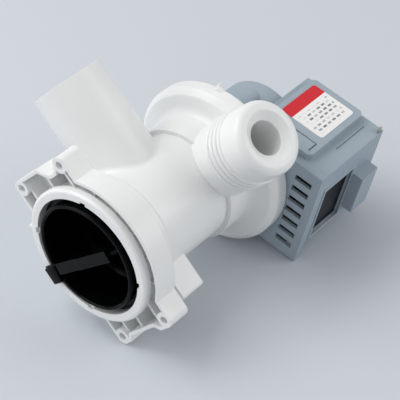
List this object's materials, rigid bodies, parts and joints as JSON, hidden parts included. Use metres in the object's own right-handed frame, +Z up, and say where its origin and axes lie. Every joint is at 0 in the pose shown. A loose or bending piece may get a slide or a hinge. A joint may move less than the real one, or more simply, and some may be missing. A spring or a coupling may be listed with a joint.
{
  "type": "washer drain pump",
  "caption": "Washing machine drain pump with lint filter housing, screw-in filter cap, inlet tube, ridged outlet nozzle and synchronous motor.",
  "frame": {"origin": "on the shaft axis, in the plane of the front faces of the screw ears, inside the mouth collar", "axes": "+Y along the shaft from the filter mouth to the motor; +Z up as it lies in the picture; the outlet points to +X+Z, the inlet to -X+Z"},
  "size_m": [0.1385, 0.1618, 0.1196],
  "materials": {
    "white_pp": "slightly glossy injection-moulded polypropylene",
    "black_cap": "glossy black moulded plastic",
    "grey_plastic": "satin blue-grey glass-filled plastic",
    "can_plastic": "dark grey moulded plastic",
    "impeller_plastic": "natural moulded plastic",
    "dark_plastic": "black moulded plastic",
    "seal_rubber": "soft black rubber",
    "shaft_steel": "ground stainless steel",
    "lamination_steel": "dark oxidised stamped sheet stack",
    "ferrite": "sintered ferrite",
    "bronze": "sintered bronze bush",
    "copper_wire": "enamelled copper wire, wound",
    "tinned_brass": "tinned stamped brass",
    "label_paper": "white printed film with a red band"
  },
  "bodies": {
    "pump_body": {"filter_housing": "white_pp", "volute_housing": "white_pp", "front_bearing": "bronze", "rear_bearing": "bronze", "shaft_seal": "seal_rubber", "bearing_carrier": "can_plastic", "rotor_can": "can_plastic", "volute_seal": "seal_rubber", "motor_endplate": "grey_plastic", "motor_housing": "grey_plastic", "stator_yoke": "lamination_steel", "coil_bobbin_upper": "dark_plastic", "coil_bobbin_lower": "dark_plastic", "winding_upper": "copper_wire", "winding_lower": "copper_wire", "terminal_blades": "tinned_brass", "earth_tab": "tinned_brass", "rating_label": "label_paper"},
    "seal_ring": {"cap_seal": "seal_rubber"},
    "filter": {"filter_cap": "black_cap", "filter_basket": "dark_plastic"},
    "rotor": {"rotor_shaft": "shaft_steel", "rotor_sleeve": "impeller_plastic", "rotor_magnet": "ferrite", "drive_dog": "dark_plastic", "thrust_washer_front": "seal_rubber", "thrust_washer_rear": "seal_rubber"},
    "impeller_wheel": {"impeller": "impeller_plastic", "hub_plug": "impeller_plastic"}
  },
  "joints": [
    {"name": "cap_advance", "type": "slide", "parent": "pump_body", "child": "seal_ring", "axis": [0, -1, 0], "range_m": [0, 0.00401]},
    {"name": "cap_turn", "type": "hinge", "parent": "seal_ring", "child": "filter", "pos_m": [0, 0.01, 0], "axis": [0, -1, 0], "range_deg": [0, 60]},
    {"name": "rotor_spin", "type": "hinge", "parent": "pump_body", "child": "rotor", "pos_m": [0, 0.12, 0], "axis": [0, 1, 0], "continuous": true},
    {"name": "impeller_swing", "type": "hinge", "parent": "rotor", "child": "impeller_wheel", "pos_m": [0, 0.083, 0], "axis": [0, 1, 0], "range_deg": [-105, 105]}
  ],
  "couplings": [
    {"joint": "cap_advance", "follows": "cap_turn", "m_per_rad": 0.0038197}
  ]
}
